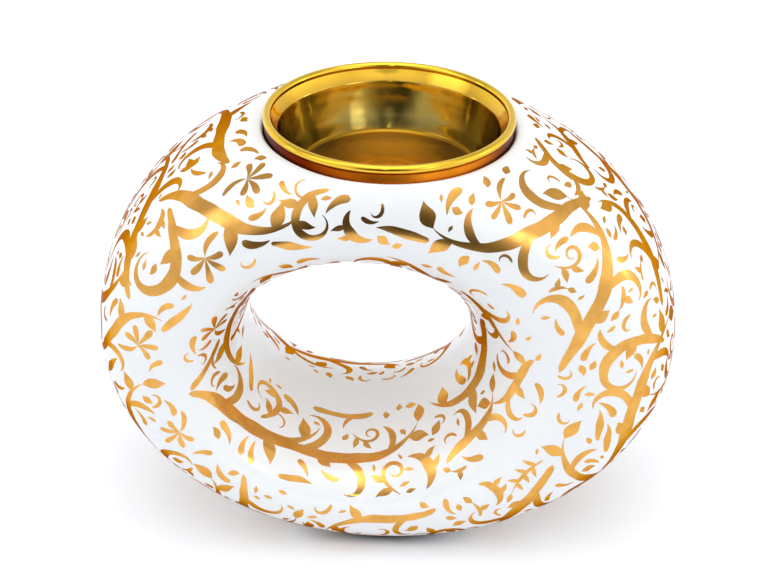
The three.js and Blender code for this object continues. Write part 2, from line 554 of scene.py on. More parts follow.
@dataclass
class PorcelainBody:
    """The slip-cast ring: a glazed surface with a round well in its crown and a ground foot with a
    firing vent. It is one closed mesh. Sizes are millimetres."""

    ring: RingSurface
    well: Well
    vent_radius: float = 3.5
    vent_y: float = 11.0
    vent_edge: float = 0.4  # chamfer round the vent
    wall: float = 4.5
    hollow_radius: float = 9.1  # of the hollow that shows through the vent
    hollow_side: float = 13.5  # height to which its side stands
    hollow_top: float = 15.3
    hollow_slope: float = 0.8  # how much its floor rises from the vent to its side
    foot_shares: tuple[float, ...] = (0.03, 0.35, 0.6)  # rows of the ground flat, from its edge in
    lip_share: float = 0.8  # where the lip lies, from the crown's middle to its window, as a first guess
    well_shelf_rows: int = 10
    foot_shelf_rows: int = 8
    lip_rows: int = 10
    corner_steps: int = 6
    turns: int = 360
    rolls: int = 180
    crown: Window = Window(57, 123, 38)
    foot: Window = Window(248, 292, 22)
    crease: float = 35.0

    def angles(self, turn_lines: Array, roll_lines: Array) -> tuple[Array, Array]:
        """Turns grid lines into angles."""
        return turn_lines * 2 * np.pi / self.turns, roll_lines * 2 * np.pi / self.rolls

    def kept_grid(self) -> tuple[Array, Array, Array]:
        """Makes the grid of the ring's surface without its two windows.

        Returns:
            The points, the corner number of each crossing of grid lines, and the quads.
        """
        turn_lines, roll_lines = np.meshgrid(np.arange(self.turns), np.arange(self.rolls), indexing="ij")
        keep_point = np.ones((self.turns, self.rolls), bool)
        keep_quad = keep_point.copy()
        for window in (self.crown, self.foot):
            keep_point[window.low + 1 : window.high, np.arange(1 - window.reach, window.reach)] = False
            keep_quad[window.low : window.high, np.arange(-window.reach, window.reach)] = False
        number = np.cumsum(keep_point).reshape(keep_point.shape) - 1
        after_turn, after_roll = np.roll(number, -1, axis=0), np.roll(number, -1, axis=1)
        after_both = np.roll(after_turn, -1, axis=1)
        quads = np.stack([number, after_roll, after_both, after_turn], axis=-1)[keep_quad]
        points = self.ring.point(*self.angles(turn_lines[keep_point], roll_lines[keep_point]))
        return points, number, quads

    def shelving(self, start: tuple[Array, Array], end: tuple[Array, Array], rows: int) -> Array:
        """Gives rows of points on the surface from one loop to another, evenly spaced in both angles."""
        share = (np.arange(1, rows + 1) / rows)[:, None]
        return self.ring.point(start[0] + (end[0] - start[0]) * share, start[1] + (end[1] - start[1]) * share)

    def well_rows(self, border: tuple[Array, Array]) -> tuple[Array, float]:
        """Gives the rows from the crown's window into the well: over the surface to the lip, round the
        lip, down the wall to the ledge, and down to the floor. At an angle t of the lip its radius is
        the well's plus the lip's times 1 - sin t, and it lies 1 - cos t lips below the surface.

        Args:
            border: Turns and rolls round the window.

        Returns:
            The rows and the height of the point that closes them.
        """
        well = self.well
        rim = self.ring.point(*border)[:, :2] - (well.axis_x, 0.0)
        course = rim / np.linalg.norm(rim, axis=1, keepdims=True)
        t = np.linspace(0, np.pi / 2, self.lip_rows)
        radii = well.radius + well.lip * (1 - np.sin(t))
        places = course * radii[:, None, None] + (well.axis_x, 0.0)
        crown = (np.pi / 2, 0.0)
        guess = [middle + (edge - middle) * self.lip_share for middle, edge in zip(crown, border)]
        guess = [np.broadcast_to(angles, places.shape[:2]) for angles in guess]
        turn, roll = self.ring.solve(*guess, lambda p: p[..., :2] - places)
        lip = self.ring.point(turn, roll)
        lip[..., 2] -= well.lip * (1 - np.cos(t))[:, None]
        lower, heel = well.radius - well.ledge_width, well.floor_z + well.corner
        profile = np.vstack([
            [[well.radius, well.ledge_z], [lower, well.ledge_z], [lower, heel]],
            arc((lower - well.corner, heel), well.corner, 0, -np.pi / 2, self.corner_steps)[1:],
            [[lower / 2, well.floor_z]],
        ])
        rings = course * profile[:, None, :1] + (well.axis_x, 0.0)
        heights = np.broadcast_to(profile[:, None, 1:], (*rings.shape[:2], 1))
        surface = self.shelving(border, (turn[0], roll[0]), self.well_shelf_rows)
        return np.concatenate([surface, lip[1:], np.concatenate([rings, heights], axis=2)]), well.floor_z

    def foot_rows(self, border: tuple[Array, Array]) -> tuple[Array, float]:
        """Gives the rows from the foot's window to the ground flat, over it to the vent, and up the
        vent into the hollow behind the wall.

        Args:
            border: Turns and rolls round the window.

        Returns:
            The rows and the height of the point that closes them.
        """
        centre = np.array([0.0, self.vent_y])
        rim = self.ring.point(*border)[:, :2] - centre
        course = rim / np.linalg.norm(rim, axis=1, keepdims=True)

        def misses(points: Array) -> Array:
            """Gives the height above the ground, and how far a point lies to the side of its course."""
            away = points[..., :2] - centre
            aside = away[..., 0] * course[:, 1] - away[..., 1] * course[:, 0]
            return np.stack([points[..., 2], aside], axis=-1)

        edge = self.ring.solve(*border, misses)
        rim = self.ring.point(*edge)
        flat = rim + (np.append(centre, 0.0) - rim) * np.array(self.foot_shares)[:, None, None]
        profile = np.array([
            [self.vent_radius + self.vent_edge, 0.0],
            [self.vent_radius, self.vent_edge],
            [self.vent_radius, self.wall],
            [self.hollow_radius, self.wall + self.hollow_slope],
            [self.hollow_radius, self.hollow_side],
            [self.hollow_radius / 2, self.hollow_top],
        ])
        rings = course * profile[:, None, :1] + centre
        heights = np.broadcast_to(profile[:, None, 1:], (*rings.shape[:2], 1))
        surface = self.shelving(border, edge, self.foot_shelf_rows)
        return np.concatenate([surface, flat, np.concatenate([rings, heights], axis=2)]), self.hollow_top

    def build(self, finish: bpy.types.Material) -> bpy.types.Object:
        """Makes the body's mesh.

        Args:
            finish: The glaze.

        Returns:
            The object, which stands for the CAD body.
        """
        points, number, quads = self.kept_grid()
        points, quads, fans = [points], [quads], []
        for window, rows_of, axis in (
            (self.crown, self.well_rows, (self.well.axis_x, 0.0)),
            (self.foot, self.foot_rows, (0.0, self.vent_y)),
        ):
            turn_lines, roll_lines = window.border()
            rows, end = rows_of(self.angles(turn_lines, roll_lines))
            first = sum(len(p) for p in points)
            loops = first + np.arange(rows.shape[0] * rows.shape[1]).reshape(rows.shape[:2])
            loops = np.vstack([number[turn_lines, roll_lines], loops])
            quads += [band(a, b) for a, b in zip(loops, loops[1:])]
            pole = np.full(len(loops[-1]), first + rows.shape[0] * rows.shape[1])
            fans.append(np.stack([loops[-1], np.roll(loops[-1], -1), pole], axis=1))
            points += [rows.reshape(-1, 3), np.array([[*axis, end]])]
        faces = [np.concatenate(quads), np.concatenate(fans)]
        made = mesh_object("porcelain_ring", np.concatenate(points), faces, finish, crease=self.crease)
        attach(made, "burner")
        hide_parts("porcelain_body")
        return made


# The brass


@dataclass
class BrassCollar:
    """The spun collar in the well's mouth: a sleeve, and above the glaze a skirt that narrows to a
    rounded edge. Its box in the frame gives its radius and its heights. Sizes are millimetres."""

    axis_x: float
    sheet: float = 0.7
    flare: float = 0.5  # how much it narrows from the glaze to its edge
    stand: float = 1.8  # how far it stands over the glaze
    chamfer: float = 0.12
    bend_lead: float = 0.5  # straight stretch before the bend
    bend_round: float = 3.0
    bend_steps: int = 6
    edge_start: float = 0.25  # angle in radians at which the rounded edge starts
    edge_steps: int = 12
    segments: int = 192
    crease: float = 40.0

    def profile(self) -> Array:
        """Draws the section, which runs up the outside and down the inside.

        Returns:
            Rows of radius and height.
        """
        low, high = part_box("brass_collar")
        radius = (high.x - low.x) / 2 / MM
        foot, top = low.z / MM, high.z / MM
        edge = self.sheet / 2
        mouth = top - self.stand
        skirt = np.array([radius - self.flare, top - edge])
        heel = [[radius - self.chamfer, foot], [radius, foot + self.chamfer]]
        lead = [[radius, mouth - self.bend_lead]]
        bend = rounded(
            np.array([radius, mouth]), np.array([radius, foot]), skirt, self.bend_round, self.bend_steps
        )
        over = arc((skirt[0] - edge, skirt[1]), edge, self.edge_start, np.pi, self.edge_steps)
        inside = [[radius - self.sheet, mouth], [radius - self.sheet, foot]]
        return np.vstack([heel, lead, bend, over, inside])

    def brass(self) -> "SpunBrass":
        """Describes its brass: darker towards the bottom, with painted dark reflections at its left and right
        sides.

        Returns:
            The finish.
        """
        return SpunBrass(
            name="collar_brass",
            axis_x=self.axis_x,
            up=((117.6, "#B8661C"), (127.5, "#E2861E")),
            # across paints dark reflections at the collar's left and right sides
            across=(
                (-36.0, "#5E3226"), (-22.0, "#8A4E34"), (-6.0, "#E8D0A8"),
                (4.0, "#FFFFFF"), (21.0, "#FFFFFF"), (33.0, "#804C30"),
            ),
            roughness=(0.3, 0.4),
        )

    def build(self) -> bpy.types.Object:
        """Makes the collar.

        Returns:
            The object, which stands for the CAD collar.
        """
        points, faces = turned(self.profile(), self.axis_x, self.segments, closed=True)
        made = mesh_object("collar", points, faces, self.brass().material(), crease=self.crease)
        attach(made, "burner")
        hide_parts("brass_collar")
        return made


@dataclass
class CharcoalCup:
    """The spun cup: a flat floor, a rounded corner, a wall, a flared lip and a rolled bead. Its box in
    the frame gives the bead's radius and height and the floor's height. Sizes are millimetres, and
    all but the bead's are taken in the middle of the sheet."""

    axis_x: float
    sheet: float = 1.0
    bead: float = 1.2
    lip_width: float = 2.7
    lip_drop: float = 3.8
    throat_round: float = 1.0
    wall_lean: float = 6.7
    wall_round: float = 70.0
    corner: float = 2.2
    corner_steps: int = 14
    wall_steps: int = 24
    throat_steps: int = 10
    bead_steps: int = 28
    segments: int = 192
    crease: float = 40.0

    def profile(self) -> Array:
        """Draws the section: the middle of the sheet moved half a thickness out and in, with the bead
        between the two faces. The wall's arc leaves the corner's smoothly and ends at the throat. So
        the corner's centre, the wall's centre and the throat are a triangle of known sides, and its
        angles give where the arcs meet.

        Returns:
            Rows of radius and height.
        """
        low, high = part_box("charcoal_cup")
        rim = np.array([(high.x - low.x) / 2 / MM - self.bead, high.z / MM - self.bead])
        floor_z = low.z / MM + self.sheet / 2
        throat = rim - (self.lip_width, self.lip_drop)
        heel = np.array([throat[0] - self.wall_lean, floor_z + self.corner])
        away = throat - heel
        reach, less = np.linalg.norm(away), self.wall_round - self.corner
        cosine = (self.wall_round**2 - less**2 - reach**2) / (2 * less * reach)
        low_turn = math.atan2(away[1], away[0]) - math.acos(cosine)
        hub = heel - less * np.array([math.cos(low_turn), math.sin(low_turn)])
        high_turn = math.atan2(*(throat - hub)[::-1])
        before = throat - (-math.sin(high_turn), math.cos(high_turn))
        wall_end = high_turn - self.throat_round / self.wall_round
        path = np.vstack([
            [[0.0, floor_z], [heel[0] / 2, floor_z]],
            arc(tuple(heel), self.corner, -np.pi / 2, low_turn, self.corner_steps)[:-1],
            arc(tuple(hub), self.wall_round, low_turn, wall_end, self.wall_steps),
            rounded(throat, before, rim, self.throat_round, self.throat_steps),
            [rim],
        ])
        outside, inside = offset_path(path, self.sheet / 2), offset_path(path, -self.sheet / 2)
        along = (rim - throat) / np.linalg.norm(rim - throat)
        seam = math.sqrt(self.bead**2 - (self.sheet / 2) ** 2) * along
        outside[-1] -= seam
        inside[-1] -= seam
        start, end = (math.atan2(p[1], p[0]) for p in (outside[-1] - rim, inside[-1] - rim))
        roll = arc(tuple(rim), self.bead, start, end + 2 * np.pi if end < start else end, self.bead_steps)
        return np.vstack([outside[:-1], roll, inside[-2::-1]])

    def brass(self) -> "SpunBrass":
        """Describes its brass: yellow at the lip, then darker and greener down the wall and browner on the
        floor, which is painted shade and painted dark reflection in the cup's hollow.

        Returns:
            The finish.
        """
        return SpunBrass(
            name="cup_brass",
            axis_x=self.axis_x,
            # up paints shade and dark reflection in the hollow: darker and greener down the wall, brown on
            # the floor
            up=(
                (110.5, "#C58A20"), (111.8, "#96701C"), (113.5, "#84763E"), (117.0, "#A48E48"),
                (121.5, "#AA9044"), (124.8, "#C09A3C"), (127.0, "#EAB83A"), (130.2, "#F2C83E"),
            ),
            across=((-36.0, "#FFFFFF"), (36.0, "#FFFFFF")),
            roughness=(0.08, 0.2),
        )

    def build(self) -> bpy.types.Object:
        """Makes the cup.

        Returns:
            The object, which stands for the CAD cup.
        """
        points, faces = turned(self.profile(), self.axis_x, self.segments, closed=False)
        made = mesh_object("cup", points, faces, self.brass().material(), crease=self.crease)
        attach(made, "cup")
        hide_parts("charcoal_cup")
        return made


# The gilding


class Nib(Enum):
    """How the width of a brush stroke runs from its start to its end."""

    BRUSH = "brush"
    BLADE = "blade"
    LEAF = "leaf"
    PETAL = "petal"
    EVEN = "even"

    def share(self, s: Array) -> Array:
        """Gives the width along a stroke. A brush lands in a point, swells and lifts off in another. A
        blade and a leaf are powers of a sine, and a petal is broadest near its round end.

        Args:
            s: Places from 0 at the start to 1 at the end.

        Returns:
            Shares of the stroke's width.
        """
        if self is Nib.BRUSH:
            landing = np.sqrt(np.clip(s / 0.03, 0, 1))
            belly = 0.4 + 0.68 * np.sin(np.pi * s**0.9)
            return landing * belly * (1 - s**4) ** 0.8
        if self is Nib.BLADE:
            return np.sin(np.pi * s) ** 0.8
        if self is Nib.LEAF:
            return np.sin(np.pi * s**0.85) ** 1.2
        if self is Nib.PETAL:
            return s**0.8 * np.sqrt(1 - s**5)
        return np.sqrt(1 - np.abs(2 * s - 1) ** 12)


@dataclass(frozen=True)
class Stroke:
    """One brush stroke of a motif, in millimetres and degrees. It leaves its stem a share of the way
    along it, turned aside to the left, after a skip. Its heading changes by bend times s plus curl
    times s squared, with s from 0 to 1 along it."""

    length: float
    width: float
    nib: Nib
    bend: float = 0.0
    curl: float = 0.0
    stem: int | None = None
    at: float = 1.0
    aside: float = 0.0
    skip: float = 0.0


def fan(
    count: int, spread: float, length: float, width: float, nib: Nib, stem: int | None, droop: float
) -> list[Stroke]:
    """Strokes that leave one point evenly spread, longest in the middle.

    Args:
        count: How many there are.
        spread: Degrees from the first to the last.
        length: Length of the middle one.
        width: Width of each.
        nib: Their width's run.
        stem: The stroke at whose end they grow.
        droop: Degrees that the outermost bend outwards.

    Returns:
        The strokes.
    """
    places = [2 * k / (count - 1) - 1 for k in range(count)]
    return [
        Stroke(
            length * (1 - 0.3 * abs(place)), width, nib,
            bend=droop * place, stem=stem, aside=spread / 2 * place, skip=0.4,
        )
        for place in places
    ]


def leaves(stem: int, places: Sequence[float], length: float, width: float, aside: float) -> list[Stroke]:
    """Leaves to the left and right of a stem by turns.

    Args:
        stem: The stroke that they grow on.
        places: Where along it each one grows.
        length: Length of the largest. They grow shorter along the stem.
        width: Width of the largest.
        aside: Degrees between a leaf and the stem.

    Returns:
        The strokes.
    """
    return [
        Stroke(
            length * (1 - 0.35 * place), width * (1 - 0.3 * place), Nib.LEAF,
            bend=30 * side, stem=stem, at=place, aside=aside * side,
        )
        for place, side in zip(places, (1, -1) * len(places))
    ]


class Motif(Enum):
    """The plant forms that are scattered over the glaze, the largest first."""

    BOUGH = (
        Stroke(56, 2.8, Nib.BRUSH, bend=-80, curl=150),
        Stroke(24, 2.1, Nib.BRUSH, bend=20, curl=170, stem=0, at=0.2, aside=28),
        Stroke(20, 1.9, Nib.BRUSH, bend=-30, curl=-160, stem=0, at=0.46, aside=-26),
        Stroke(13, 1.8, Nib.BLADE, bend=110, stem=0, at=0.72, aside=22),
        Stroke(8, 3.0, Nib.LEAF, bend=25, stem=0, aside=10),
        Stroke(7.5, 2.8, Nib.LEAF, bend=-25, stem=0, at=0.88, aside=-44),
        Stroke(6, 2.5, Nib.LEAF, bend=25, stem=0, at=0.32, aside=-50),
    )
    MEANDER = (
        Stroke(50, 2.9, Nib.BRUSH, bend=-190, curl=230),
        Stroke(19, 1.9, Nib.BRUSH, bend=30, curl=150, stem=0, at=0.24, aside=30),
        Stroke(9, 2.9, Nib.LEAF, bend=-30, stem=0, at=0.6, aside=-50),
        Stroke(8, 2.7, Nib.LEAF, bend=30, stem=0, at=0.84, aside=46),
    )
    FIDDLEHEAD = (
        Stroke(50, 2.6, Nib.BRUSH, bend=10, curl=300),
        Stroke(17, 2.0, Nib.BRUSH, bend=-40, curl=-110, stem=0, at=0.16, aside=-28),
        Stroke(12, 1.8, Nib.BLADE, bend=-100, stem=0, at=0.42, aside=-26),
        Stroke(7, 2.6, Nib.LEAF, bend=20, stem=0, at=0.3, aside=48),
    )
    FORK = (
        Stroke(34, 2.5, Nib.BRUSH, bend=120, curl=-150),
        Stroke(19, 2.1, Nib.BRUSH, bend=-30, curl=-150, stem=0, at=0.3, aside=-26),
        Stroke(14, 1.8, Nib.BRUSH, bend=30, curl=140, stem=0, at=0.66, aside=28),
        Stroke(7.5, 2.9, Nib.LEAF, bend=25, stem=0, aside=8),
        Stroke(6.5, 2.6, Nib.LEAF, bend=30, stem=0, at=0.48, aside=52),
    )
    SWEEP = (
        Stroke(42, 2.8, Nib.BRUSH, bend=-50, curl=150),
        Stroke(18, 1.9, Nib.BRUSH, bend=30, curl=130, stem=0, at=0.3, aside=30),
        Stroke(15, 1.7, Nib.BLADE, bend=-110, stem=0, at=0.6, aside=-28),
        Stroke(7.5, 2.7, Nib.LEAF, bend=-30, stem=0, at=0.84, aside=46),
    )
    VINE_SCROLL = (
        Stroke(44, 2.3, Nib.BRUSH, bend=90, curl=230),
        *leaves(0, (0.14, 0.3, 0.46), 10, 2.9, 52),
        Stroke(13, 0.7, Nib.BLADE, bend=-190, stem=0, at=0.22, aside=-30),
    )
    LEAFY_TWIG = (
        Stroke(34, 1.9, Nib.BRUSH, bend=34, curl=-20),
        Stroke(13, 1.3, Nib.BRUSH, bend=-50, stem=0, at=0.35, aside=48),
        Stroke(11, 1.2, Nib.BRUSH, bend=50, stem=0, at=0.55, aside=-50),
        Stroke(6.5, 2.9, Nib.LEAF, bend=20, stem=1, aside=-10),
        Stroke(6, 2.7, Nib.LEAF, bend=-20, stem=2, aside=10),
        Stroke(7.5, 2.7, Nib.LEAF, bend=25, stem=0, aside=12),
        Stroke(5, 2.2, Nib.LEAF, bend=25, stem=0, at=0.15, aside=-60),
    )
    REED_SPRAY = (
        Stroke(30, 2.4, Nib.BRUSH, bend=26),
        Stroke(25, 1.7, Nib.BLADE, bend=62, stem=0, at=0.06, aside=15),
        Stroke(22, 1.5, Nib.BLADE, bend=-40, stem=0, at=0.05, aside=-17),
        Stroke(15, 0.8, Nib.BLADE, bend=-80, stem=0, at=0.04, aside=-38),
    )
    HALF_PALMETTE = (
        Stroke(13, 1.7, Nib.BRUSH, bend=70),
        *fan(5, 150, 11.5, 2.9, Nib.PETAL, 0, 55),
    )
    TENDRIL = (
        Stroke(32, 1.3, Nib.BLADE, bend=40, curl=390),
        Stroke(8, 2.2, Nib.LEAF, bend=-30, stem=0, at=0.12, aside=-45),
        Stroke(7, 2.0, Nib.LEAF, bend=30, stem=0, at=0.26, aside=-50),
    )
    FERN = (
        Stroke(24, 1.1, Nib.BRUSH, bend=-40),
        *leaves(0, (0.14, 0.22, 0.38, 0.46, 0.62, 0.7), 7, 1.7, 46),
        Stroke(6, 1.7, Nib.LEAF, stem=0),
    )
    RIBBON = (
        Stroke(26, 2.1, Nib.EVEN, bend=-55, curl=90),
        Stroke(15, 1.4, Nib.BLADE, bend=100, stem=0, at=0.9, aside=150),
    )
    SICKLE = (
        Stroke(21, 3.0, Nib.BLADE, bend=150),
        Stroke(7, 1.9, Nib.LEAF, bend=30, stem=0, at=0.4, aside=-62),
        Stroke(7, 1.9, Nib.LEAF, bend=-30, stem=0, at=0.62, aside=-75),
    )
    BUD = (
        Stroke(11, 1.3, Nib.BRUSH, bend=-50),
        *fan(3, 70, 8, 2.6, Nib.LEAF, 0, 30),
    )
    SPRIG = (
        Stroke(9, 1.2, Nib.BRUSH, bend=60),
        Stroke(5, 1.8, Nib.LEAF, bend=-20, stem=0, at=0.4, aside=-55),
        Stroke(4.5, 1.8, Nib.LEAF, stem=0),
    )
    STREAK = (Stroke(17, 2.3, Nib.BRUSH, bend=45, curl=-60),)
    COMMA = (Stroke(10, 2.9, Nib.PETAL, bend=70),)
    HOOK = (Stroke(9.5, 1.0, Nib.BRUSH, bend=60, curl=150),)
    LEAF = (Stroke(5.6, 2.3, Nib.LEAF, bend=35),)
    DASH = (Stroke(3.4, 1.0, Nib.LEAF, bend=20),)


@dataclass
class Traced:
    """Strokes of one kind as they run over the glaze, one row per stroke. course holds the unit
    vectors along them, and left and right the half widths in millimetres."""

    turn: Array
    roll: Array
    course: Array
    left: Array
    right: Array

    def only(self, rows: Array) -> "Traced":
        """Keeps some of the strokes."""
        return Traced(self.turn[rows], self.roll[rows], self.course[rows], self.left[rows], self.right[rows])


@dataclass(frozen=True)
class Round:
    """One round of scattering: the motifs that are tried, how often each, the least and the greatest
    size as a share, the clear glaze in millimetres that is kept round them, and the share of them that
    may cross gold."""

    motifs: tuple[Motif, ...]
    tries: int
    size: Span
    gap: float
    crossing: float = 0.0


@dataclass
class Gilding:
    """The gold painting: plant motifs brushed freehand over the outer belt of the ring and over its
    two inner slopes, with the ridges between them left white. Each stroke is a ribbon that follows
    the glaze, a little thicker than the fired film so that it shows. Lengths are millimetres, and
    rolls are degrees from the outermost line of the section."""

    ring: RingSurface
    well: Well
    belt_roll: float = 98.0  # the belt ends here
    slope_rolls: Span = (104.0, 168.0)
    crown_roll: float = 90.0  # the well's margin is kept up to here
    well_margin: float = 4.2
    foot_margin: float = 2.0
    weight: float = 1.38  # what the motifs' widths are multiplied by
    thinnest: float = 0.06  # least half width
    wavers: tuple[Span, ...] = ((0.12, 2.9), (0.05, 1.3))  # share and length over 2 pi
    spacing: float = 0.6  # between the samples along a stroke
    fewest: int = 7  # samples of the shortest strokes
    cell: float = 0.5  # edge of the cells that tell where gold lies
    cell_margin: int = 2  # cells kept round the ring
    cell_places: int = 7  # places looked up across a stroke
    edge: float = 0.07  # how much wider the sunk edges are than the stroke
    film: float = 0.05
    film_range: Span = (0.8, 1.2)
    film_crown: float = 1.1  # how high the middle is, as a share of the shoulders
    sunk: float = 0.035  # how deep the edges lie in the glaze
    graze: float = 0.012  # share of a motif that may run along other gold
    rounds: tuple[Round, ...] = (
        Round((Motif.BOUGH, Motif.MEANDER, Motif.FIDDLEHEAD, Motif.SWEEP), 500, (0.9, 1.1), 0.9, 0.05),
        Round((Motif.FORK, Motif.MEANDER, Motif.FIDDLEHEAD, Motif.BOUGH), 900, (0.7, 0.9), 0.8, 0.05),
        Round((Motif.VINE_SCROLL, Motif.LEAFY_TWIG, Motif.SWEEP, Motif.FORK), 900, (0.6, 0.85), 0.7, 0.04),
        Round(
            (Motif.HALF_PALMETTE, Motif.TENDRIL, Motif.RIBBON, Motif.SWEEP, Motif.SICKLE, Motif.FERN),
            900, (0.55, 0.75), 0.7, 0.02,
        ),
        Round((Motif.STREAK, Motif.SICKLE, Motif.COMMA, Motif.BUD, Motif.REED_SPRAY), 1500, (0.6, 0.95), 0.6),
        Round((Motif.SPRIG, Motif.COMMA, Motif.HOOK, Motif.STREAK), 1500, (0.6, 0.85), 0.6),
        Round((Motif.LEAF, Motif.COMMA, Motif.SPRIG), 1500, (0.5, 0.8), 0.6),
        Round((Motif.LEAF, Motif.DASH), 1800, (0.6, 1.0), 0.6),
    )

    def __post_init__(self) -> None:
        """Starts the seeded random numbers and the block of cells that tells where gold lies."""
        self.random = np.random.default_rng(SEED)
        size = np.array([self.ring.width, self.ring.crown_depth, self.ring.height])
        self.reach = np.ceil(size / self.cell).astype(int) + 4 * self.cell_margin
        self.taken = np.zeros(int(np.prod(self.reach)), bool)

    def scattered(self, count: int) -> tuple[Array, Array]:
        """Picks random places, spread evenly by area: a place is kept with a chance in proportion to
        the area that a step in both angles covers there.

        Args:
            count: How many are picked, before those on gold or off the painting are left out.

        Returns:
            Their turns and rolls.
        """
        spare = 6 * count
        turn, roll = self.random.uniform(0, 2 * np.pi, (2, spare))
        by_turn, by_roll = self.ring.tangents(turn, roll)
        area = np.linalg.norm(np.cross(by_turn, by_roll), axis=1)
        kept = self.random.random(spare) < area / area.max()
        turn, roll = turn[kept][:count], roll[kept][:count]
        free = self.free(turn, roll)
        turn, roll = turn[free], roll[free]
        bare = ~self.taken[self.cell_numbers(self.ring.point(turn, roll))]
        return turn[bare], roll[bare]

    def free(self, turn: Array, roll: Array) -> Array:
        """Tells which places may be painted.

        Args:
            turn: Angles round the hole.
            roll: Angles round the section.

        Returns:
            True for each place on the belt or a slope that is clear of the well and of the foot.
        """
        angle = np.degrees(np.abs((roll + np.pi) % (2 * np.pi) - np.pi))
        points = self.ring.point(turn, roll)
        low, high = self.slope_rolls
        zone = (angle < self.belt_roll) | ((angle > low) & (angle < high))
        from_axis = np.hypot(points[..., 0] - self.well.axis_x, points[..., 1])
        elsewhere = (angle > self.crown_roll) | (points[..., 2] < self.ring.height / 2)
        off_well = elsewhere | (from_axis > self.well.radius + self.well_margin)
        return zone & off_well & (points[..., 2] > self.foot_margin)

    def across(self, traced: Traced, left: Array) -> tuple[Array, Array]:
        """Gives the places at a distance to the left of each sample.

        Args:
            traced: The strokes.
            left: Distances in millimetres, with a last axis of one per place wanted.

        Returns:
            Their turns and rolls.
        """
        side = np.cross(self.ring.normal(traced.turn, traced.roll), traced.course)
        move = side[..., None, :] * left[..., None]
        turn = np.broadcast_to(traced.turn[..., None], left.shape)
        roll = np.broadcast_to(traced.roll[..., None], left.shape)
        return self.ring.stepped(turn, roll, move)

    @staticmethod
    def turned_aside(normal: Array, course: Array, angle: Array) -> Array:
        """Turns a course to the left on the surface by an angle in radians."""
        return course * np.cos(angle)[:, None] + np.cross(normal, course) * np.sin(angle)[:, None]

    def trace(
        self, stroke: Stroke, turn: Array, roll: Array, course: Array, size: Array, hand: Array
    ) -> Traced:
        """Runs one stroke from many starts. Each step goes along the course, which is then laid into
        the surface again and turned by the stroke's bend, so that lengths and angles stay true on a
        curved glaze. The two edges waver a little, each by two waves of its own.

        Args:
            stroke: The stroke.
            turn: Turns of the starts.
            roll: Rolls of the starts.
            course: Unit vectors along which they start.
            size: The share that lengths and widths are scaled by.
            hand: 1, or -1 for a mirrored stroke.

        Returns:
            The strokes.
        """
        samples = max(self.fewest, math.ceil(stroke.length / self.spacing) + 1)
        s = np.linspace(0, 1, samples)
        step = stroke.length * size / (samples - 1)
        turns, rolls, courses = [], [], []
        for k in range(samples):
            turns.append(turn)
            rolls.append(roll)
            courses.append(course)
            turn, roll = self.ring.stepped(turn, roll, course * step[:, None])
            normal = self.ring.normal(turn, roll)
            course = course - normal * np.sum(course * normal, axis=1, keepdims=True)
            course /= np.linalg.norm(course, axis=1, keepdims=True)
            bend = math.radians(stroke.bend + 2 * stroke.curl * s[k]) / (samples - 1)
            course = self.turned_aside(normal, course, hand * bend)
        phase = self.random.uniform(0, 2 * np.pi, (2, len(self.wavers), len(size), 1))
        waves = [
            share * np.sin(s * stroke.length / length + phase[:, k])
            for k, (share, length) in enumerate(self.wavers)
        ]
        half = np.maximum(self.weight * stroke.width / 2 * stroke.nib.share(s), self.thinnest) * size[:, None]
        left, right = half * (1 + sum(waves))
        return Traced(np.stack(turns, 1), np.stack(rolls, 1), np.stack(courses, 1), left, right)

    def cell_numbers(self, points: Array) -> Array:
        """Numbers the cells that points lie in.

        Args:
            points: Places in millimetres, with a last axis of three.

        Returns:
            A cell number for each.
        """
        corner = np.array([self.ring.width / 2, self.ring.crown_depth / 2, 0]) + self.cell_margin * self.cell
        index = ((points + corner) / self.cell).astype(int)
        return np.ravel_multi_index(np.moveaxis(index, -1, 0), self.reach)

    def cells(self, traced: Traced, gap: float) -> Array:
        """Lists the cells that strokes cover, with some clear glaze at their sides.

        Args:
            traced: The strokes.
            gap: Width of the clear glaze in millimetres.

        Returns:
            Cell numbers, one row per stroke.
        """
        share = np.linspace(-1, 1, self.cell_places)
        reach = np.where(share > 0, traced.left[..., None] + gap, traced.right[..., None] + gap)
        points = self.ring.point(*self.across(traced, reach * share))
        return self.cell_numbers(points).reshape(len(traced.turn), -1)

    def grown(self, motif: Motif, count: int, size: Span) -> list[Traced]:
        """Tries a motif at many random places: its first stroke starts in a random direction, and each
        other one starts where it leaves its stem.

        Args:
            motif: The motif.
            count: How many times it is tried.
            size: Smallest and largest size as a share.

        Returns:
            Its strokes, each with a row per try.
        """
        turn, roll = self.scattered(count)
        count = len(turn)
        scale = self.random.uniform(*size, count)
        hand = self.random.choice([-1.0, 1.0], count)
        normal = self.ring.normal(turn, roll)
        by_turn, _ = self.ring.tangents(turn, roll)
        course = by_turn / np.linalg.norm(by_turn, axis=1, keepdims=True)
        course = self.turned_aside(normal, course, self.random.uniform(0, 2 * np.pi, count))
        made: list[Traced] = []
        for stroke in motif.value:
            if stroke.stem is None:
                start = (turn, roll, course)
            else:
                stem = made[stroke.stem]
                k = round(stroke.at * (stem.turn.shape[1] - 1))
                at_turn, at_roll = stem.turn[:, k], stem.roll[:, k]
                at_normal = self.ring.normal(at_turn, at_roll)
                way = self.turned_aside(at_normal, stem.course[:, k], hand * math.radians(stroke.aside))
                start = (*self.ring.stepped(at_turn, at_roll, way * stroke.skip * scale[:, None]), way)
            made.append(self.trace(stroke, *start, scale, hand))
        return made

